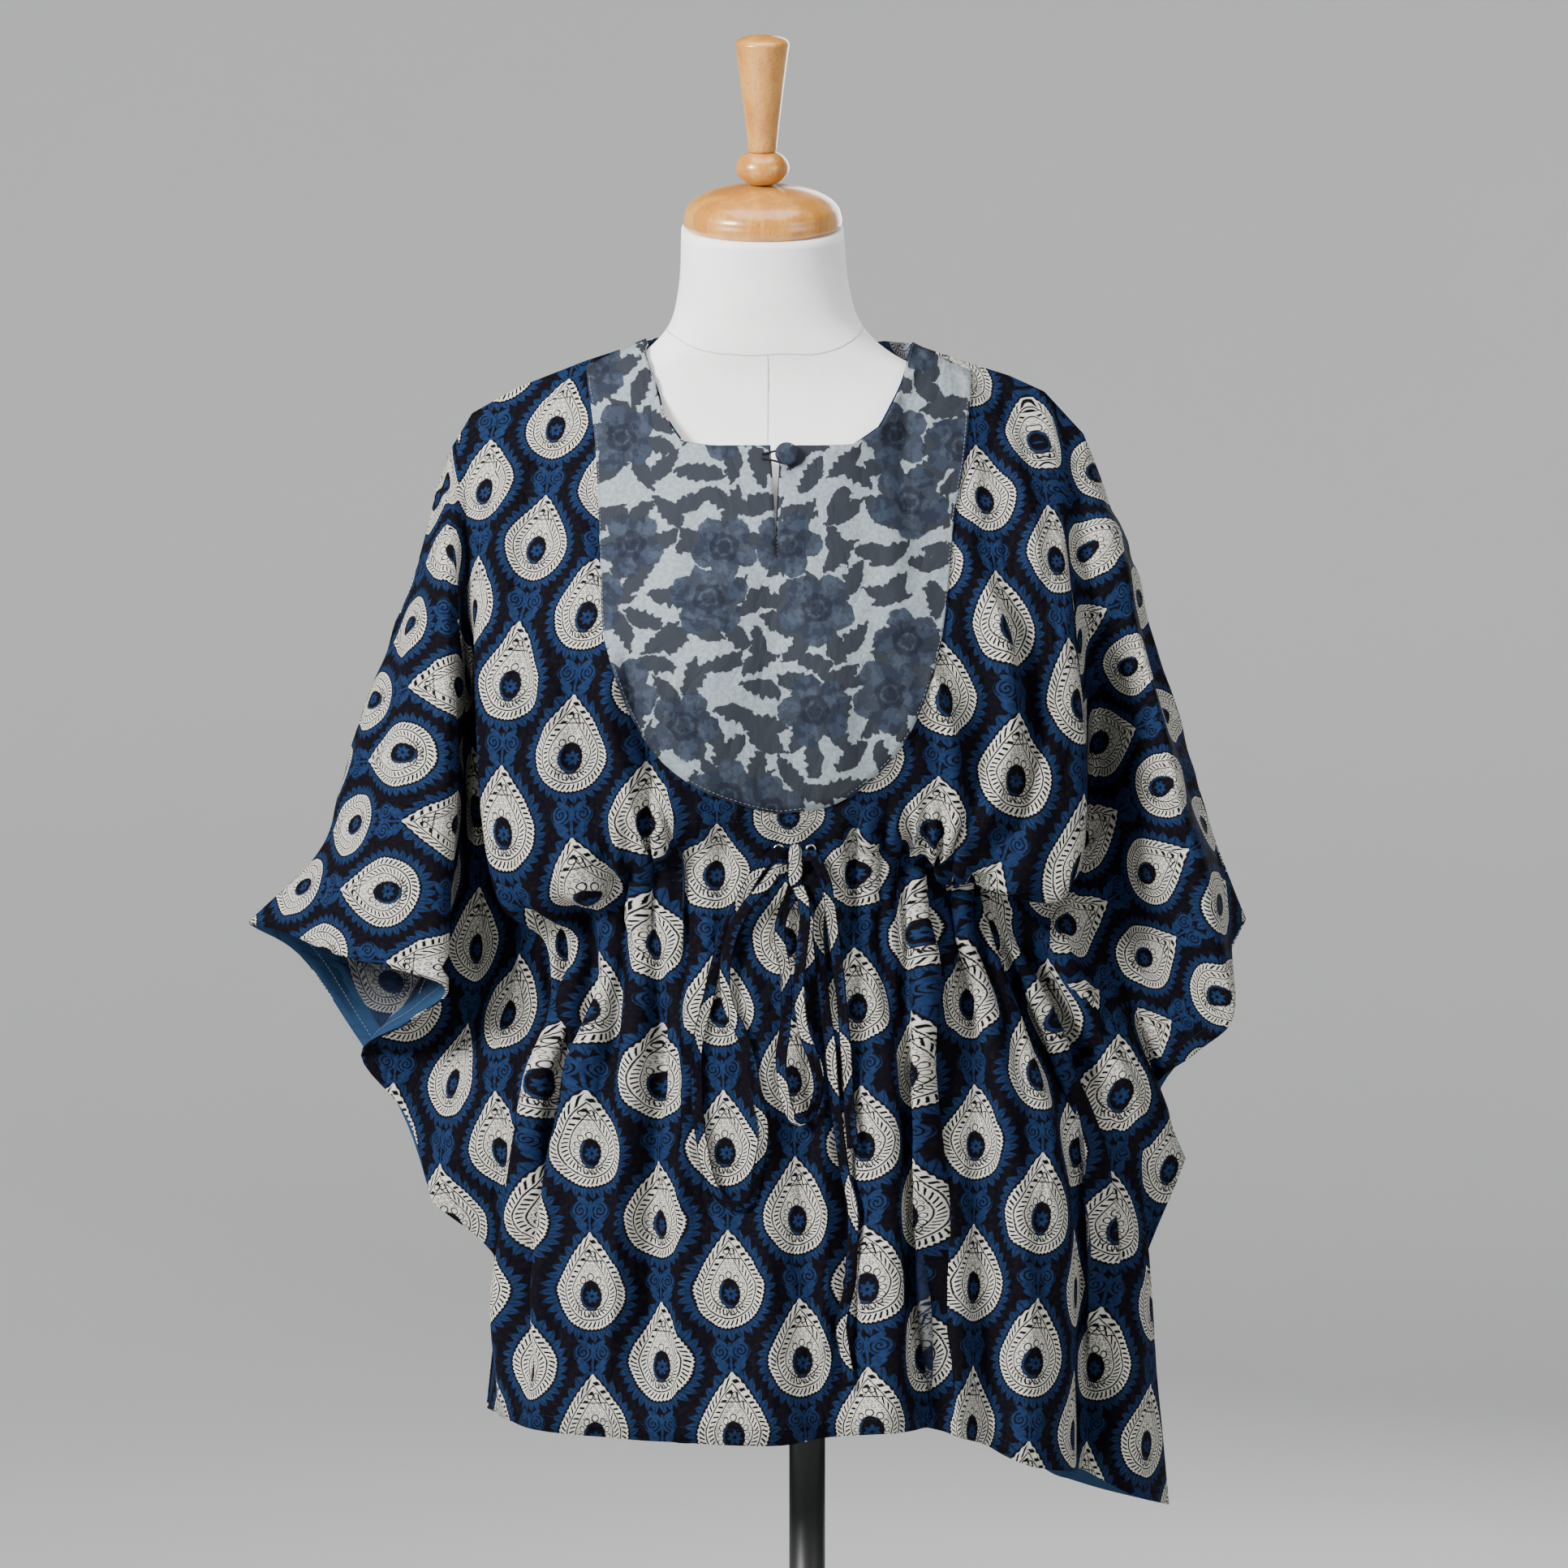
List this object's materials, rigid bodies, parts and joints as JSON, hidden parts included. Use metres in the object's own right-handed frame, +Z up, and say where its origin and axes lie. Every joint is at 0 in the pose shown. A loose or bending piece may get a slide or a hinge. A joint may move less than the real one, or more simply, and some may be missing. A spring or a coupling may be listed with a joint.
{
  "type": "short kaftan on a limbless dress form",
  "caption": "Loose short kaftan with wide batwing sleeves, bib yoke, keyhole slit and tied drawstring waist, worn by a padded dress form on a round-based pole.",
  "frame": {"origin": "centre of the base plate's underside, on the floor under the pole", "axes": "+Z up along the pole, -Y the way the wearer faces, +X to the viewer's right"},
  "size_m": [0.6928, 0.35, 1.5911],
  "materials": {
    "print": "block-printed cotton, near-black ground with indigo and cream motifs",
    "floral": "block-printed cotton, pale grey ground with slate-blue flowers",
    "jersey": "white knitted cover over padding",
    "wood": "turned, lacquered",
    "black_paint": "satin black",
    "nickel": "plated"
  },
  "bodies": {
    "root": {"front": "print", "back": "print", "yoke": "floral", "button": "floral", "button_loop": "print", "eyelet_left": "nickel", "eyelet_right": "nickel", "drawstring_knot": "print", "bow_loop_left": "print", "bow_loop_right": "print", "drawstring_tail_long": "print", "drawstring_tail_short": "print", "form_torso": "jersey", "neck_cap": "wood", "finial_ball": "wood", "finial_handle": "wood", "stand_pole": "black_paint", "stand_base": "black_paint"}
  },
  "joints": []
}
